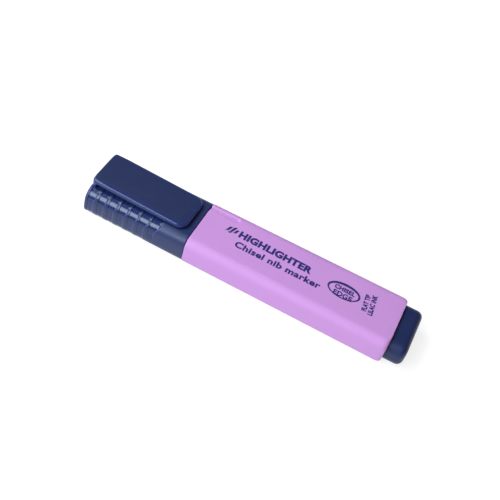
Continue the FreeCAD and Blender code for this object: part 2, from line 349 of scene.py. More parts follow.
def grooveCut(x, y, z):
    # Depth of the grip grooves, and their polish: 1 on the floors and bandGloss on the bands.
    # Along each pitch the surface drops at a steep wall, keeps a flat floor, and climbs a
    # short ramp to the raised band. Towards the top corner the floor is deeper and takes
    # more of the pitch. The last groove runs out halfway down the side.
    c = cap
    place = (x - c["end"] - c["firstGroove"]) / c["pitch"]
    index = np.clip(np.floor(place), 0, c["grooves"] - 1)
    along = (place - index) * c["pitch"]
    rise = smooth(*c["cornerRise"], z - axisHeight)
    depth = c["sideDepth"] + (c["cornerDepth"] - c["sideDepth"]) * rise
    depth = depth - (c["sideDepth"] - c["lowDepth"]) * smooth(*c["lowFall"], axisHeight - z)
    more, moreEach = c["cornerShare"]
    share = c["floorShare"] + (more + moreEach * index) * smooth(0.55, 1.0, rise)
    floorEnd = share * c["pitch"]
    fall = np.clip(along / c["wallRun"], 0, 1)
    climb = 1 - smooth(0, 1, (along - floorEnd) / c["rampRun"])
    side = smooth(c["grooveStart"] + c["sideFade"][0], c["grooveStart"] + c["sideFade"][1], np.abs(y))
    isLast = index == c["grooves"] - 1
    side = np.where(isLast, side * smooth(*c["lastFade"], z - axisHeight), side)
    inside = (along >= 0) & (along <= c["pitch"])
    shape = np.where(inside, fall * climb, 0) * side
    return depth * shape, np.maximum(smooth(0.55, 0.95, shape), c["bandGloss"] * side * inside)


def makeCap():
    # One closed wall: middle of the end face, round the end edge, along the outside to the
    # mouth, over the lip, and back inside to the middle of the inner end.
    c, wall = cap, pen["wall"]
    inPitch = np.concatenate([c["wallRows"], np.linspace(*c["floorRows"])])
    starts = c["end"] + c["firstGroove"] + c["pitch"] * np.arange(c["grooves"])
    xs = np.unique(np.round((starts[:, None] + inPitch[None, :]).ravel(), 4))
    tail = np.arange(xs[-1] + 0.3, c["mouth"] - 1.0, 0.8)
    outside = np.array([capSection(x) for x in np.concatenate([xs, tail])])
    endFace = softPath([[c["end"], 0.2, 0.1, 0.05, 0], capSection(c["end"]) + [c["edgeRound"]],
                        capSection(xs[0] - 0.1) + [0]], step=1.5, arcStep=0.07)
    inner = softPath([capSection(c["mouth"] - 0.6) + [0], capSection(c["mouth"]) + [c["mouthRound"]],
                      capSection(c["mouth"], wall) + [0.2],
                      capSection(c["end"] + c["endWall"], wall) + [0.6],
                      [c["end"] + c["endWall"], 0.2, 0.1, 0.05, 0]], step=2.0)
    rows = np.concatenate([endFace, outside, inner])
    table = ringTable(22, 13, 24)
    # the bulge fades towards the middle of the end faces, where the rings get small
    bow = capBow(rows[:, 0]) * np.clip(rows[:, 1] / (pen["frontWidth"] - 3), 0, 1)
    grid = ringGrid(rows, table, bow)
    cut, polish = grooveCut(grid[..., 0], grid[..., 1], grid[..., 2])
    isOut = np.zeros(len(rows), bool)
    isOut[len(endFace):len(endFace) + len(outside)] = True
    cut, polish = cut * isOut[:, None], polish * isOut[:, None]
    grid[..., 1] -= cut * np.cos(table[None, :, 2])
    grid[..., 2] -= cut * np.sin(table[None, :, 2])
    piece = tubeMesh("capSkin", grid, startPole=True, endPole=True)
    setAttribute(piece, "polish", polish)
    # painted highlight: 1 round the edge of the closed end, gone a little way along the side and the end
    # face
    inward = (pen["frontWidth"] - rows[:, 1]) / 2
    rim = (1 - smooth(0.1, 0.6, rows[:, 0] - c["end"])) * (1 - smooth(0.2, 0.7, inward))
    setAttribute(piece, "edge", np.repeat(rim, len(table)))
    return piece


capSkin = makeCap()
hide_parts("cap_shell")
print("cap made:", len(capSkin.data.polygons), "faces")


# clip, one moulding with the upright at the cap's closed end

clip = {
    "rear": capLow[0] + 0.02,  # just inside the cap's end face, which covers its foot
    "tip": clipHigh[0],
    "halfWidth": (clipHigh[1] - clipLow[1]) / 2,
    "rearTop": capHigh[2],   # the sloping top meets the rear at this height
    "tipGap": 0.2,
    "thickness": 1.7,
    "riserDepth": 1.8,
    "foot": 0.75,            # how deep the upright stands in the cap's wall
    "outerRound": 0.6,
    "innerRound": 0.9,
    "corner": 3.6,
    "edgeRound": 0.75,
    "uprightRound": 1.35,    # the upright's rear corners are rounder than the plate's edges
    "bendRound": 1.1,
    "roundRun": (1.4, 2.0, 2.12),  # where upright, bend and plate have their own rounding
    "lowerRound": 0.3,
    "crown": 0.12,
    "crownReach": 3.5,
    "rimReach": (0.2, 2.0),  # the smoother finish and the painted sheen of the edge fade over this distance
    "bendBehind": 0.6,       # from the upright's front face back to where the bending starts
    "bendLength": 5.0,       # stretch of the plate that bends when the clip is lifted
}


def clipLines(p):
    # Outer and inner side line of the clip at path parameter p. From 0 to 1 the upright,
    # from 1 to 2 the bend, from 2 to 3 the sloping plate: straight, arc, straight.
    c = clip
    slope = np.array([c["tip"] - c["rear"],
                      pen["thickness"] + c["tipGap"] + c["thickness"] - c["rearTop"]])
    slope = slope / np.linalg.norm(slope)
    drop = np.array([-slope[1], slope[0]]) * -c["thickness"]
    foot = pen["thickness"] - c["foot"]
    tipOut = np.array([c["tip"], pen["thickness"] + c["tipGap"] + c["thickness"]])
    lines = []
    for x, radius, shift in ((c["rear"], c["outerRound"], np.zeros(2)),
                             (c["rear"] + c["riserDepth"], c["innerRound"], drop)):
        end = tipOut + shift
        corner = end - slope * (end[0] - x) / slope[0]
        bottom = np.array([x, foot])
        start = corner - np.array([0, radius])
        stop = corner + slope * radius
        s = np.clip(p - 1, 0, 1)[:, None]
        one, two = start + (corner - start) * roundness, stop + (corner - stop) * roundness
        bend = ((1 - s) ** 3 * start + 3 * s * (1 - s) ** 2 * one
                + 3 * s * s * (1 - s) * two + s ** 3 * stop)
        up = bottom + (start - bottom) * np.clip(p, 0, 1)[:, None]
        out = stop + (end - stop) * np.clip(p - 2, 0, 1)[:, None]
        lines.append(np.where(p[:, None] < 1, up, np.where(p[:, None] < 2, bend, out)))
    return lines


def makeClip():
    # Cross-sections carried along the side lines. Each is a ring: over the top from edge to
    # edge, down, and back underneath. The top is pulled down near the plan outline by a
    # quarter circle, which rounds every edge, and a shallow crown covers the rest.
    c = clip
    plate = c["tip"] - c["rear"] - c["outerRound"]
    toCorner = 1 - c["corner"] / plate
    turn = np.linspace(0, np.pi / 2, 22)
    run = np.concatenate([np.linspace(0, 1, 4)[:-1], np.linspace(1, 2, 10)[:-1],
                          2 + np.linspace(0, toCorner, 46)[:-1],
                          2 + toCorner + (1 - toCorner) * np.sin(turn)])
    lack = np.concatenate([np.zeros(len(run) - len(turn)), c["corner"] * (1 - np.cos(turn))])
    half = c["halfWidth"] - lack
    outer, inner = clipLines(run)
    beta = np.sin(np.linspace(-np.pi / 2, np.pi / 2, 45))
    beta = np.sign(beta) * np.abs(beta) ** 0.8
    y = beta[None, :] * half[:, None]
    toTip = (3 - run[:, None]) * plate
    inCorner = np.maximum(0, c["corner"] - toTip)
    sideways = np.maximum(0, np.abs(y) - (c["halfWidth"] - c["corner"]))
    rounded = c["corner"] - np.hypot(inCorner, sideways)
    straight = np.minimum(c["halfWidth"] - np.abs(y), toTip)
    depth = np.clip(np.where((inCorner > 0) & (sideways > 0), rounded, straight), 0, None)

    def edgeDrop(radius):
        # radius * (1 - sqrt(1 - (1 - depth / radius)^2)), depth being the way to the outline
        reach = np.clip(1 - depth / radius, 0, 1)
        return radius * (1 - np.sqrt(np.clip(1 - reach ** 2, 0, 1)))

    bulge = c["crown"] * (1 - smooth(0, c["crownReach"], depth))
    gauge = c["thickness"]
    edge = np.interp(run, c["roundRun"], [c["uprightRound"], c["bendRound"], c["edgeRound"]])[:, None]
    topShare = 1 - (edgeDrop(edge) + bulge) / gauge
    lowShare = edgeDrop(c["lowerRound"]) / gauge
    sheets = []
    for share in (topShare, lowShare):
        flat = inner[:, None, :] + (outer - inner)[:, None, :] * share[..., None]
        sheets.append(np.stack([flat[..., 0], y, flat[..., 1]], -1))
    top, low = sheets
    between = [low[:, -1] + (top[:, -1] - low[:, -1]) * s for s in (0.7, 0.35)]
    back = [low[:, 0] + (top[:, 0] - low[:, 0]) * s for s in (0.35, 0.7)]
    ring = np.concatenate([top, np.stack(between, 1), low[:, ::-1], np.stack(back, 1)], 1)
    rows, cols = ring.shape[:2]
    n = len(beta)
    faces = [gridFaces(rows, cols)]
    # both ends are closed by quads from the top to the underside, and one at each side
    j = np.arange(n - 1)
    for row, flip in ((0, True), (rows - 1, False)):
        first = row * cols
        under = first + n + 2 + (n - 1) - j
        cover = np.stack([first + j, first + j + 1, under - 1, under], 1)
        faces.append(cover[:, ::-1] if flip else cover)
        for a, b, d, e in ((n - 1, n, n + 1, n + 2), (0, cols - 1, cols - 2, cols - 3)):
            side = np.array([[first + a, first + b, first + d, first + e]])
            faces.append(side if (a == 0) == flip else side[:, ::-1])
    piece = meshFrom("clipArm", ring, faces)
    # smoother finish and painted sheen: rounded edges and both sides get less roughness and a lighter
    # blue colour
    rim = 1 - smooth(*c["rimReach"], depth)
    # in the ring's order: top, side, underside, other side
    smoothRimPaintedSheen = np.concatenate([rim, np.ones((rows, 2)), rim[:, ::-1] * 0, np.ones((rows, 2))], 1)
    setAttribute(piece, "rim", smoothRimPaintedSheen)
    return piece


clipArm = makeClip()
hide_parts("clip")
print("clip made:", len(clipArm.data.polygons), "faces")


# butt plug

plug = {
    "end": plugHigh[0],
    "tail": plugLow[0],
    "width": plugHigh[1] - plugLow[1],
    "height": plugHigh[2] - plugLow[2],
    "radius": pen["plugRadius"],
    "endRound": 2.3,
    "spigotStep": 0.8,
    "spigotWall": 1.1,
    "pocketFloor": 2.0,      # from the shoulder back to the bottom of the pocket
    "paintedSeamShade": 0.8,        # painted shade along the barrel's rim, which fades out along the head
    "seamReach": 1.3,
}


def plugSection(x, inset=0.0):
    # (x, width, height, radius) of the plug's head at x, moved inwards by inset
    return [x, plug["width"] - 2 * inset, plug["height"] - 2 * inset,
            max(plug["radius"] - inset, 0.3)]


def makePlug():
    # Middle of the end face, round its big edge, back along the head into the seat, along
    # the spigot to its tail, and into the pocket.
    p = plug
    shoulder = barrel["end"] - barrel["seatDepth"]
    floor = shoulder + p["pocketFloor"]
    turn = np.linspace(0, np.pi / 2, 15)
    endEdge = [plugSection(p["end"] - p["endRound"] * (1 - math.cos(t)),
                           p["endRound"] * (1 - math.sin(t))) for t in turn]
    face = softPath([[p["end"], 0.2, 0.1, 0.05, 0], endEdge[0] + [0]], step=1.2)
    rest = softPath([endEdge[-1] + [0], plugSection(shoulder) + [0.2],
                     plugSection(shoulder, p["spigotStep"]) + [0.1],
                     plugSection(p["tail"], p["spigotStep"]) + [0.3],
                     plugSection(p["tail"], p["spigotStep"] + p["spigotWall"]) + [0.2],
                     plugSection(floor, p["spigotStep"] + p["spigotWall"]) + [0.4],
                     [floor, 0.2, 0.1, 0.05, 0]], step=1.2)
    rows = np.concatenate([face[:-1], endEdge, rest[1:]])
    grid = ringGrid(rows, ringTable(18, 8, 12))
    piece = tubeMesh("plugSkin", grid, startPole=True, endPole=True)
    # painted shade: darkest at the barrel's rim, gone over seamReach along the head
    seamShadeMask = p["paintedSeamShade"] * (1 - smooth(0.0, p["seamReach"], grid[..., 0] - barrel["end"]))
    setAttribute(piece, "edge", seamShadeMask)
    return piece


plugSkin = makePlug()
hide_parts("end_plug")
print("plug made:", len(plugSkin.data.polygons), "faces")


# nib section: collar, neck, nose and the slot round the nib

section = {
    "front": sectionLow[0],
    "rear": sectionHigh[0],
    "shoulder": sectionLow[0] + 14.0,
    "clearance": 0.2,
    "noseWidth": 11.7,
    "noseHeight": 7.0,
    "noseTip": (8.2, 5.8),
    "noseTaper": 7.0,
    "noseRadius": 2.05,
    "beadPlace": 3.4,        # from the barrel's mouth forward to the snap bead
    "beadRun": 0.7,
    "beadHeight": 0.1,
    "cup": (19.5, 6.8, 2.75),
    "cupFloor": 3.0,
    "slot": (5.16, 3.76, 0.98),
}


def makeSection():
    # Nib slot at the nose, up the nose's taper, over the shoulder, along the neck and its
    # bead, the collar, and back through the rear cup to the slot.
    s = section
    inset = pen["wall"] + s["clearance"]
    mouth = barrel["front"]
    beadX = mouth - s["beadPlace"]
    nose = [s["noseWidth"], s["noseHeight"], s["noseRadius"]]
    collar = [pen["frontWidth"] - 2 * pen["wall"], pen["thickness"] - 2 * pen["wall"],
              pen["sideRadius"] - pen["wall"]]
    neck = capSection(s["shoulder"], inset)
    points = [
        [s["front"], *s["slot"], 0],
        [s["front"], *s["noseTip"], s["noseRadius"], 0.9],
        [s["front"] + s["noseTaper"], *nose, 1.5],
        [s["shoulder"], *nose, 0.5],
        neck + [0.7],
        capSection(beadX - s["beadRun"], inset) + [0.3],
        capSection(beadX, inset - s["beadHeight"]) + [0.4],
        capSection(beadX + s["beadRun"], inset) + [0.3],
        capSection(mouth, inset) + [0.05],
        [mouth + 0.02, *collar, 0.05],
        [s["rear"], *collar, 0.3],
        [s["rear"], *s["cup"], 0.1],
        [s["shoulder"] + s["cupFloor"], *s["cup"], 0.2],
        [s["shoulder"] + s["cupFloor"], *s["slot"], 0.1],
        [s["front"], *s["slot"], 0],
    ]
    rows = softPath(points, step=1.5)[:-1]
    bow = np.where(rows[:, 1] > s["noseWidth"] + 1, capBow(rows[:, 0]), 0)
    grid = ringGrid(rows, ringTable(16, 8, 12), bow)
    return tubeMesh("sectionSkin", grid, loop=True)


sectionSkin = makeSection()
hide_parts("nib_section")
print("nib section made:", len(sectionSkin.data.polygons), "faces")


# felt nib

nib = {
    "front": nibLow[0],
    "rear": nibHigh[0],
    "width": nibHigh[1] - nibLow[1],
    "height": nibHigh[2] - nibLow[2],
    "radius": 0.95,
    "edge": 0.75,
    "bevel": 3.4,
    "slant": 2.2,
    "tipRound": 0.35,
    "tipClosing": (0.9, 1.6),  # how much of the edge and of tipRound the rounding takes off
    "radiusShare": 0.46,       # largest corner radius, as a share of the height
}


def makeNib():
    # Rounded bar whose rings lean over: x = front + d + slant * (1/2 - y/width). The height
    # grows from the edge's to the full one over the bevel, and the last bit is rounded in.
    n = nib
    d = np.concatenate([n["tipRound"] * (1 - np.cos(np.linspace(0, np.pi / 2, 9))),
                        np.linspace(n["tipRound"], n["bevel"], 14)[1:],
                        np.linspace(n["bevel"], n["rear"] - n["front"] - n["slant"], 30)[1:]])
    closing = 1 - np.sqrt(np.clip(1 - (1 - np.clip(d / n["tipRound"], 0, 1)) ** 2, 0, 1))
    tall = n["edge"] + (n["height"] - n["edge"]) * np.clip(d / n["bevel"], 0, 1)
    tall = tall - n["edge"] * n["tipClosing"][0] * closing
    wide = n["width"] - n["tipRound"] * n["tipClosing"][1] * closing
    rows = np.stack([n["front"] + d, wide, tall, np.minimum(n["radius"], tall * n["radiusShare"])], 1)
    grid = ringGrid(rows, ringTable(12, 8, 9))
    grid[..., 0] += n["slant"] * (0.5 - grid[..., 1] / n["width"])
    return tubeMesh("nibFelt", grid, startPole=True, endPole=True)


nibFelt = makeNib()
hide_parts("nib")
print("nib made:", len(nibFelt.data.polygons), "faces")


# print on the barrel's top face: generic words and signs, a film of ink

ink = {
    "lift": 0.012,
    "film": 0.02,
    "spacing": 1.07,
    "ringCentre": (33.1, 0.6),
    "ringHalf": (6.1, 3.55),
    "ringLine": (0.5, 1.15),  # line width at the near side and at the far side
    "ringSteps": 96,
    "strokeCentre": (-10.7, 2.75),
    "strokes": ((-1.4, 0.9, 2.5), (0.0, 0.9, 3.5), (1.4, 0.9, 2.0)),
    "strokeLean": 0.35,
    "strokeCut": 0.15,        # how far the ends rise from one side of a stroke to the other
}
words = {
    # name: text, start of the baseline (x, y), letter size, length, thickening, turn
    "printTitle": ("HIGHLIGHTER", (-7.9, 1.3), 4.15, 28.2, 0.055, -1.2),
    "printNote": ("Chisel nib marker", (-7.3, -3.45), 3.8, 32.6, 0.036, -0.3),
    "printBadge": ("CHISEL", (29.5, 0.5), 2.45, 7.6, 0.055, -1.0),
    "printBadgeLow": ("EDGE", (29.8, -2.25), 2.9, 7.0, 0.04, -1.0),
    "printRange": ("FLAT TIP", (42.7, -3.2), 2.3, 7.6, 0.055, 96.0),
    "printShade": ("LILAC INK", (45.1, -3.8), 2.3, 9.4, 0.055, 96.0),
}


def textMesh(name, text, start, size, length, bold, turn):
    # Letters as a flat mesh, stretched along their line to the given length, then moved
    # onto the barrel's top face.
    curve = bpy.data.curves.new(name, "FONT")
    curve.body = text
    curve.size = size * mm
    curve.offset = bold * size * mm
    curve.space_character = ink["spacing"]
    curve.resolution_u = 6
    curve.extrude = ink["film"] / 2 * mm
    letters = bpy.data.objects.new(name + "Curve", curve)
    bpy.context.scene.collection.objects.link(letters)
    graph = bpy.context.evaluated_depsgraph_get()
    mesh = bpy.data.meshes.new_from_object(letters.evaluated_get(graph))
    bpy.data.objects.remove(letters)
    places = np.empty(len(mesh.vertices) * 3, np.float32)
    mesh.vertices.foreach_get("co", places)
    left, right = places[::3].min(), places[::3].max()
    stretch = length * mm / (right - left)
    height = (pen["thickness"] + ink["lift"]) * mm
    mesh.transform(Matrix.Translation((start[0] * mm, start[1] * mm, height))
                   @ Matrix.Rotation(math.radians(turn), 4, "Z")
                   @ Matrix.Diagonal((stretch, 1, 1, 1)) @ Matrix.Translation((-left, 0, 0)))
    piece = bpy.data.objects.new(name, mesh)
    bpy.context.scene.collection.objects.link(piece)
    return piece


def makeRing():
    # Ellipse band whose width swells from thin at the near side to broad at the far side,
    # with a film's thickness: an outer and an inner ellipse, at two heights.
    turn = np.linspace(0, 2 * np.pi, ink["ringSteps"] + 1)[:-1]
    thin, broad = ink["ringLine"]
    band = thin + (broad - thin) * (0.5 + 0.5 * np.sin(turn)) ** 1.5
    low = pen["thickness"] + ink["lift"] - ink["film"] / 2
    rows = []
    for inset, z in ((0, 0), (0, 1), (1, 1), (1, 0)):
        rows.append(np.stack([
            ink["ringCentre"][0] + (ink["ringHalf"][0] - inset * band) * np.cos(turn),
            ink["ringCentre"][1] + (ink["ringHalf"][1] - inset * band) * np.sin(turn),
            np.full(turn.size, low + z * ink["film"])], 1))
    return tubeMesh("printRing", np.array(rows), loop=True)


def makeStrokes():
    # Small sign before the title: three leaning marker strokes side by side, each a thin
    # slab with a slanted foot and head.
    x0, y0 = ink["strokeCentre"]
    low = pen["thickness"] + ink["lift"] - ink["film"] / 2
    slabs, faces = [], []
    for offset, width, height in ink["strokes"]:
        corners = []
        for side, end in ((-1, -1), (1, -1), (1, 1), (-1, 1)):
            y = end * height / 2 + side * ink["strokeCut"]
            corners.append([x0 + offset + side * width / 2 + y * ink["strokeLean"], y0 + y])
        ring = np.array(corners)
        first = len(slabs) * 8
        slabs.append(np.concatenate([np.column_stack([ring, np.full(4, low)]),
                                     np.column_stack([ring, np.full(4, low + ink["film"])])]))
        k = np.arange(4)
        faces.append(first + np.array([[3, 2, 1, 0], [4, 5, 6, 7]]))
        faces.append(first + np.stack([k, (k + 1) % 4, (k + 1) % 4 + 4, k + 4], 1))
    return meshFrom("printStrokes", np.concatenate(slabs), faces)


prints = [textMesh(name, *values) for name, values in words.items()] + [makeRing(), makeStrokes()]
print("print made:", len(prints), "pieces")


# shader groups

finish = {
    # mould grain: the scales are repeats per metre
    "pitNoise": (3.0, 0.6),        # detail and roughness of the fine pits
    "driftNoise": (2.0, 0.5),
    "driftShare": 0.25,            # of the slow unevenness in the bump
    "flow": (20, 260, 260),        # along the pen, across and up
    # handling marks
    "hairlines": (((70, 2600, 900), 0.12), ((90, 3100, 900), -0.5)),  # scale and turn of each
    "hairlineLevel": 0.70,         # noise above this is a line
    "hairlineGain": 9.0,
    "specks": 260.0,
    "speckSize": 0.045,
    "speckPatches": (90.0, 0.62),  # scale of the patches with specks, and the noise level
}


def socketIn(group, name, kind, value):
    socket = group.interface.new_socket(name, in_out="INPUT", socket_type="NodeSocket" + kind)
    socket.default_value = value


def socketOut(group, name, kind):
    group.interface.new_socket(name, in_out="OUTPUT", socket_type="NodeSocket" + kind)


def mathNode(tree, operation, first, second=None, third=None, clamp=False):
    # each input is a number or another node's output
    node = tree.nodes.new("ShaderNodeMath")
    node.operation = operation
    node.use_clamp = clamp
    for k, value in enumerate((first, second, third)):
        if value is None:
            continue
        if isinstance(value, (int, float)):
            node.inputs[k].default_value = value
        else:
            tree.links.new(value, node.inputs[k])
    return node.outputs[0]


def mixColours(tree, share, first, second):
    # share 0 gives the first colour and 1 the second
    node = tree.nodes.new("ShaderNodeMix")
    node.data_type = "RGBA"
    for socket, value in ((node.inputs[0], share), (node.inputs[6], first), (node.inputs[7], second)):
        if isinstance(value, (int, float, tuple, list)):
            socket.default_value = value
        else:
            tree.links.new(value, socket)
    return node.outputs[2]


def noise(tree, vector, scale, detail=2.0, rough=0.5):
    node = tree.nodes.new("ShaderNodeTexNoise")
    node.inputs["Detail"].default_value = detail
    node.inputs["Roughness"].default_value = rough
    if isinstance(scale, (int, float)):
        node.inputs["Scale"].default_value = scale
    else:
        tree.links.new(scale, node.inputs["Scale"])
    tree.links.new(vector, node.inputs["Vector"])
    return node.outputs[0]


def stretched(tree, vector, scale):
    # object coordinates stretched along the axes, for patterns that run one way
    node = tree.nodes.new("ShaderNodeMapping")
    node.inputs["Scale"].default_value = scale
    tree.links.new(vector, node.inputs["Vector"])
    return node.outputs[0]


def grainGroup():
    # Spark-eroded mould finish: fine pits, a slower unevenness, and a slight change of
    # shade. Height is in the bump's unit, Shade is about 0 and Gloss adds to the roughness.
    group = bpy.data.node_groups.new("mouldGrain", "ShaderNodeTree")
    socketIn(group, "Vector", "Vector", (0, 0, 0))
    socketIn(group, "Pits per metre", "Float", 5000.0)
    socketIn(group, "Drift per metre", "Float", 60.0)
    for name in ("Height", "Shade", "Gloss"):
        socketOut(group, name, "Float")
    start = group.nodes.new("NodeGroupInput")
    end = group.nodes.new("NodeGroupOutput")
    vector = start.outputs["Vector"]
    pits = noise(group, vector, start.outputs["Pits per metre"], *finish["pitNoise"])
    drift = noise(group, vector, start.outputs["Drift per metre"], *finish["driftNoise"])
    flow = noise(group, stretched(group, vector, finish["flow"]), 1.0)
    height = mathNode(group, "ADD", pits, mathNode(group, "MULTIPLY", drift, finish["driftShare"]))
    shade = mathNode(group, "SUBTRACT", mathNode(group, "ADD", drift, flow), 1.0)
    gloss = mathNode(group, "SUBTRACT", mathNode(group, "MULTIPLY", pits, 0.5), 0.25)
    group.links.new(height, end.inputs["Height"])
    group.links.new(shade, end.inputs["Shade"])
    group.links.new(gloss, end.inputs["Gloss"])
    return group


def scuffGroup():
    # Handling marks: thin short hairlines in two directions and a few dust specks.
    # Lines and Specks are 0 on clean surface and 1 on a mark.
    group = bpy.data.node_groups.new("handlingMarks", "ShaderNodeTree")
    socketIn(group, "Vector", "Vector", (0, 0, 0))
    socketIn(group, "Amount", "Float", 0.5)
    for name in ("Lines", "Specks"):
        socketOut(group, name, "Float")
    start = group.nodes.new("NodeGroupInput")
    end = group.nodes.new("NodeGroupOutput")
    vector = start.outputs["Vector"]
    amount = start.outputs["Amount"]
    lines = []
    for scale, turn in finish["hairlines"]:
        mapping = group.nodes.new("ShaderNodeMapping")
        mapping.inputs["Rotation"].default_value = (0, 0, turn)
        mapping.inputs["Scale"].default_value = scale
        group.links.new(vector, mapping.inputs["Vector"])
        streak = noise(group, mapping.outputs[0], 1.0, 1.0)
        above = mathNode(group, "SUBTRACT", streak, finish["hairlineLevel"])
        lines.append(mathNode(group, "SMOOTH_MAX", above, 0.0, 0.01))
    both = mathNode(group, "ADD", lines[0], lines[1])
    line = mathNode(group, "MULTIPLY", both, finish["hairlineGain"], clamp=True)
    dots = group.nodes.new("ShaderNodeTexVoronoi")
    dots.inputs["Scale"].default_value = finish["specks"]
    group.links.new(vector, dots.inputs["Vector"])
    near = mathNode(group, "LESS_THAN", dots.outputs["Distance"], finish["speckSize"])
    patchScale, patchLevel = finish["speckPatches"]
    patch = mathNode(group, "GREATER_THAN", noise(group, vector, patchScale, 1.0), patchLevel)
    group.links.new(mathNode(group, "MULTIPLY", line, amount), end.inputs["Lines"])
    group.links.new(mathNode(group, "MULTIPLY", mathNode(group, "MULTIPLY", near, patch), amount),
                    end.inputs["Specks"])
    return group


mouldGrain = grainGroup()
handlingMarks = scuffGroup()


def useGroup(tree, group, vector, **values):
    # one of the groups in a material, with that material's own values
    node = tree.nodes.new("ShaderNodeGroup")
    node.node_tree = group
    tree.links.new(vector, node.inputs["Vector"])
    for key, value in values.items():
        node.inputs[key].default_value = value
    return node


# materials

def startMaterial(name):
    # a material, its node tree, its shader and the object coordinates
    material = bpy.data.materials.new(name)
    material.use_nodes = True
    tree = material.node_tree
    shader = tree.nodes["Principled BSDF"]
    place = tree.nodes.new("ShaderNodeTexCoord").outputs["Object"]
    return material, tree, shader, place


def bumpInto(tree, shader, height, depth):
    # depth is the bump's full height in metres
    node = tree.nodes.new("ShaderNodeBump")
    node.inputs["Strength"].default_value = 1.0
    node.inputs["Distance"].default_value = depth
    tree.links.new(height, node.inputs["Height"])
    tree.links.new(node.outputs["Normal"], shader.inputs["Normal"])


def mouldedPlastic(name, look):
    # Base colour with slow shade changes and light hairlines, grainy roughness, pitted bump.
    # Where the attribute named by look["attribute"] is 1 the surface has the mask's colour,
    # polish and bump, and where the attribute "edge" is 1 it has the edge colour: a painted
    # highlight round the cap's closed end, and painted shade on the plug along the barrel's rim.
    material, tree, shader, place = startMaterial(name)
    grain = useGroup(tree, mouldGrain, place, **{"Pits per metre": look["pits"]})
    marks = useGroup(tree, handlingMarks, place, Amount=look["marks"])
    shade = mathNode(tree, "MULTIPLY_ADD", grain.outputs["Shade"], look["variation"], 0.5, clamp=True)
    colour = mixColours(tree, shade, (*look["dark"], 1), (*look["light"], 1))
    rough = mathNode(tree, "MULTIPLY_ADD", grain.outputs["Gloss"], look["spread"], look["rough"])
    height = grain.outputs["Height"]
    if "attribute" in look:
        mask = tree.nodes.new("ShaderNodeAttribute")
        mask.attribute_name = look["attribute"]
        mask = mask.outputs["Fac"]
        colour = mixColours(tree, mask, colour, (*look["maskColour"], 1))
        rough = mathNode(tree, "ADD", mathNode(tree, "MULTIPLY", rough,
                         mathNode(tree, "SUBTRACT", 1.0, mask)),
                         mathNode(tree, "MULTIPLY", mask, look["maskRough"]))
        height = mathNode(tree, "MULTIPLY", height,
                          mathNode(tree, "MULTIPLY_ADD", mask, look["maskBump"] - 1, 1.0))
    # painted light: the edge colour paints a highlight on the cap and shade on the plug
    if "paintedEdgeColour" in look:
        edge = tree.nodes.new("ShaderNodeAttribute")
        edge.attribute_name = "edge"
        colour = mixColours(tree, edge.outputs["Fac"], colour, (*look["paintedEdgeColour"], 1))
    worn = mathNode(tree, "ADD", marks.outputs["Lines"], marks.outputs["Specks"], clamp=True)
    colour = mixColours(tree, mathNode(tree, "MULTIPLY", worn, look["markShow"]), colour,
                        (*look["markColour"], 1))
    tree.links.new(colour, shader.inputs["Base Color"])
    tree.links.new(mathNode(tree, "MULTIPLY_ADD", marks.outputs["Lines"], 0.15, rough, clamp=True),
                   shader.inputs["Roughness"])
    bumpInto(tree, shader, height, look["bump"])
    shader.inputs["IOR"].default_value = 1.49
    shader.inputs["Specular IOR Level"].default_value = look["specular"]
    shader.inputs["Specular Tint"].default_value = (*look.get("tint", (1, 1, 1)), 1)
    return material


navyLook = {
    "dark": (0.0105, 0.0195, 0.074), "light": (0.0135, 0.0235, 0.087), "variation": 0.6,
    "rough": 0.46, "spread": 0.25, "pits": 3600.0, "bump": 0.00004, "marks": 0.5,
    "markShow": 0.35, "markColour": (0.12, 0.15, 0.27), "specular": 0.6,
    "tint": (0.74, 0.84, 1.0),
}
barrelLilac = mouldedPlastic("barrelLilac", {
    "dark": (0.485, 0.244, 0.578), "light": (0.515, 0.263, 0.608), "variation": 0.5,
    "rough": 0.58, "spread": 0.2, "pits": 5200.0, "bump": 0.00002, "marks": 0.35,
    "markShow": 0.2, "markColour": (0.66, 0.42, 0.76), "specular": 0.42,
})
# the cap's bright blue edge colour is a painted highlight round the rounded edge of the closed end
capNavy = mouldedPlastic("capNavy", {
    **navyLook, "dark": (0.0095, 0.0205, 0.086), "light": (0.0125, 0.0245, 0.099),
    "rough": 0.44, "attribute": "polish", "maskColour": (0.010, 0.021, 0.095),
    "maskRough": 0.19, "maskBump": 0.02, "paintedEdgeColour": (0.022, 0.048, 0.24),
})
# the clip's lighter blue mask colour is painted sheen on the plate's edges and sides; its lower
# roughness is the smoother finish
clipNavy = mouldedPlastic("clipNavy", {
    **navyLook, "rough": 0.44, "attribute": "rim", "maskColour": (0.014, 0.028, 0.13),
    "maskRough": 0.24, "maskBump": 0.3,
})
# the plug's near-black edge colour is painted shade along the barrel's rim
plugNavy = mouldedPlastic("plugNavy", {
    **navyLook, "dark": (0.0085, 0.0165, 0.070), "light": (0.0115, 0.0205, 0.084),
    "rough": 0.44, "bump": 0.00002, "specular": 0.42, "paintedEdgeColour": (0.0035, 0.004, 0.011),
})
sectionNavy = mouldedPlastic("sectionNavy", {**navyLook, "rough": 0.33, "bump": 0.000015})
linerNatural = mouldedPlastic("linerNatural", {
    "dark": (0.62, 0.62, 0.58), "light": (0.74, 0.74, 0.70), "variation": 0.5,
    "rough": 0.4, "spread": 0.2, "pits": 4000.0, "bump": 0.00002, "marks": 0.2,
    "markShow": 0.2, "markColour": (0.8, 0.8, 0.76), "specular": 0.5,
})


fibre = {
    "strands": (300, 5200, 5200),  # repeats per metre along the pen, across and up
    "patches": 450.0,
    "depth": 0.00012,
    "fuzz": 0.25,
}


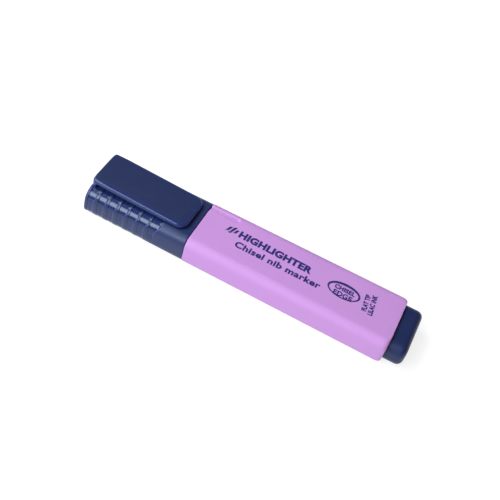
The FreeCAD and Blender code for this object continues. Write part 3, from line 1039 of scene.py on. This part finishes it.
def fibreMaterial(name, dark, light, rough):
    # bonded fibres along the pen: long streaks in colour and height, dull and a bit fuzzy
    material, tree, shader, place = startMaterial(name)
    strands = noise(tree, stretched(tree, place, fibre["strands"]), 1.0, 3.0, 0.6)
    patches = noise(tree, place, fibre["patches"])
    share = mathNode(tree, "MULTIPLY_ADD", strands, 1.4,
                     mathNode(tree, "MULTIPLY_ADD", patches, 0.5, -0.45), clamp=True)
    tree.links.new(mixColours(tree, share, (*dark, 1), (*light, 1)), shader.inputs["Base Color"])
    tree.links.new(mathNode(tree, "MULTIPLY_ADD", strands, 0.2, rough - 0.1), shader.inputs["Roughness"])
    bumpInto(tree, shader, strands, fibre["depth"])
    shader.inputs["Sheen Weight"].default_value = fibre["fuzz"]
    return material


feltInk = fibreMaterial("feltInk", (0.27, 0.07, 0.40), (0.52, 0.20, 0.66), 0.85)
coreFibre = fibreMaterial("coreFibre", (0.35, 0.12, 0.47), (0.58, 0.27, 0.70), 0.9)
filmClear = mouldedPlastic("filmClear", {
    "dark": (0.62, 0.50, 0.68), "light": (0.72, 0.62, 0.78), "variation": 0.6,
    "rough": 0.15, "spread": 0.05, "pits": 900.0, "bump": 0.00001, "marks": 0.2,
    "markShow": 0.1, "markColour": (0.8, 0.75, 0.85), "specular": 0.6,
})


inkLook = {
    "dark": (0.013, 0.015, 0.135), "light": (0.025, 0.027, 0.18), "spots": 2600.0,
    "rough": 0.35, "depth": 0.00001,
}


def inkMaterial(look):
    # pad-printed ink: nearly even navy with faint thin spots
    material, tree, shader, place = startMaterial("printInk")
    thin = noise(tree, place, look["spots"], 3.0, 0.6)
    share = mathNode(tree, "MULTIPLY_ADD", thin, 1.6, -0.55, clamp=True)
    tree.links.new(mixColours(tree, share, (*look["dark"], 1), (*look["light"], 1)),
                   shader.inputs["Base Color"])
    tree.links.new(mathNode(tree, "MULTIPLY_ADD", thin, 0.2, look["rough"]), shader.inputs["Roughness"])
    bumpInto(tree, shader, thin, look["depth"])
    return material


printInk = inkMaterial(inkLook)


def wear(piece, material):
    # the material takes the place of all that the piece had
    piece.data.materials.clear()
    piece.data.materials.append(material)


for piece, material, body in (
        (barrelSkin, barrelLilac, "barrel"), (plugSkin, plugNavy, "barrel"),
        (sectionSkin, sectionNavy, "barrel"), (nibFelt, feltInk, "barrel"),
        (capSkin, capNavy, "cap")):
    wear(piece, material)
    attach(piece, body)
for piece in prints:
    wear(piece, printInk)
    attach(piece, "barrel")
wear(clipArm, clipNavy)
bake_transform(clipArm)
for node, material in (("cap_liner", linerNatural), ("ink_core", coreFibre), ("core_film", filmClear)):
    wear(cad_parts[node], material)
print("materials and bodies set")


# floor, light and camera

studio = {
    "floorSize": 3.0,
    "floorGlow": 0.81,       # a light table: most of its brightness comes from below
    "floorTint": (0.27, 0.27, 0.275),
    "mottle": 0.02,          # how far the floor's shade drifts either way
    "horizon": (0.28, 0.29, 0.32),
    "zenith": (0.12, 0.123, 0.13),
    "skyFade": (2.4, -0.15),  # share of the zenith's colour: the first times height, plus the second
    "lights": {
        # name: place, size, power, colour
        "keySoft": ((-0.365, -0.59, 0.68), (0.66, 0.52), 8.45, (0.985, 0.99, 1.01)),
        "topSoft": ((-0.62, 0.04, 0.76), (0.35, 0.5), 5.7, (0.985, 0.98, 1.0)),
        "sideFill": ((-0.7, -0.36, 0.28), (0.3, 0.3), 1.3, (0.80, 0.93, 1.15)),
    },
}


def makeFloor():
    # a square sheet that is a little mottled and glows
    half = studio["floorSize"] / 2
    mesh = bpy.data.meshes.new("floor")
    corners = [(-half, -half, 0), (half, -half, 0), (half, half, 0), (-half, half, 0)]
    mesh.from_pydata(corners, [], [(0, 1, 2, 3)])
    floor = bpy.data.objects.new("floor", mesh)
    bpy.context.scene.collection.objects.link(floor)
    material, tree, shader, place = startMaterial("floorPaper")
    mottle = noise(tree, place, 40.0, 4.0, 0.6)
    tint = np.array(studio["floorTint"])
    low, high = tint * (1 - studio["mottle"]), tint * (1 + studio["mottle"])
    tree.links.new(mixColours(tree, mottle, (*low, 1), (*high, 1)), shader.inputs["Base Color"])
    shader.inputs["Roughness"].default_value = 0.9
    shader.inputs["Specular IOR Level"].default_value = 0.2
    shader.inputs["Emission Color"].default_value = (1, 1, 1, 1)
    shader.inputs["Emission Strength"].default_value = studio["floorGlow"]
    floor.data.materials.append(material)


def makeLights():
    # Surroundings that are pale at the horizon and dark overhead, so that flat tops stay
    # deep, and soft rectangular lamps that all aim at the origin.
    world = bpy.data.worlds.new("studio")
    world.use_nodes = True
    tree = world.node_tree
    split = tree.nodes.new("ShaderNodeSeparateXYZ")
    tree.links.new(tree.nodes.new("ShaderNodeTexCoord").outputs["Generated"], split.inputs[0])
    lift = mathNode(tree, "MULTIPLY_ADD", split.outputs["Z"], *studio["skyFade"], clamp=True)
    shade = mixColours(tree, lift, (*studio["horizon"], 1), (*studio["zenith"], 1))
    tree.links.new(shade, tree.nodes["Background"].inputs["Color"])
    bpy.context.scene.world = world
    for name, (place, size, power, colour) in studio["lights"].items():
        light = bpy.data.lights.new(name, "AREA")
        light.shape = "RECTANGLE"
        light.size, light.size_y = size
        light.energy = power
        light.color = colour
        lamp = bpy.data.objects.new(name, light)
        lamp.location = place
        lamp.rotation_euler = (-Vector(place)).to_track_quat("-Z", "Y").to_euler()
        bpy.context.scene.collection.objects.link(lamp)


view = {
    "azimuth": 10.77,        # degrees round Z, and 0 looks along +Y
    "elevation": 47.26,
    "roll": 18.81,
    "distance": 0.31654,
    "aim": (-0.00276, 0.00331, 0.0057),
    "lens": 64.85,
}


def makeCamera():
    # the camera looks at the aim from the given distance, turned by roll about its own line
    azimuth, elevation, roll = (math.radians(view[k]) for k in ("azimuth", "elevation", "roll"))
    forward = Vector((-math.sin(azimuth) * math.cos(elevation),
                      math.cos(azimuth) * math.cos(elevation), -math.sin(elevation)))
    level = Vector((math.cos(azimuth), math.sin(azimuth), 0))
    above = level.cross(forward)
    right = level * math.cos(roll) + above * math.sin(roll)
    up = above * math.cos(roll) - level * math.sin(roll)
    data = bpy.data.cameras.new("camera")
    data.sensor_width = 36.0
    data.lens = view["lens"]
    data.clip_start = 0.01
    camera = bpy.data.objects.new("camera", data)
    turn = Matrix((right, up, -forward)).transposed().to_4x4()
    camera.matrix_world = Matrix.Translation(Vector(view["aim"]) - forward * view["distance"]) @ turn
    bpy.context.scene.collection.objects.link(camera)
    bpy.context.scene.camera = camera


makeFloor()
makeLights()
makeCamera()
bpy.context.scene.view_settings.view_transform = "Standard"
print("studio ready")
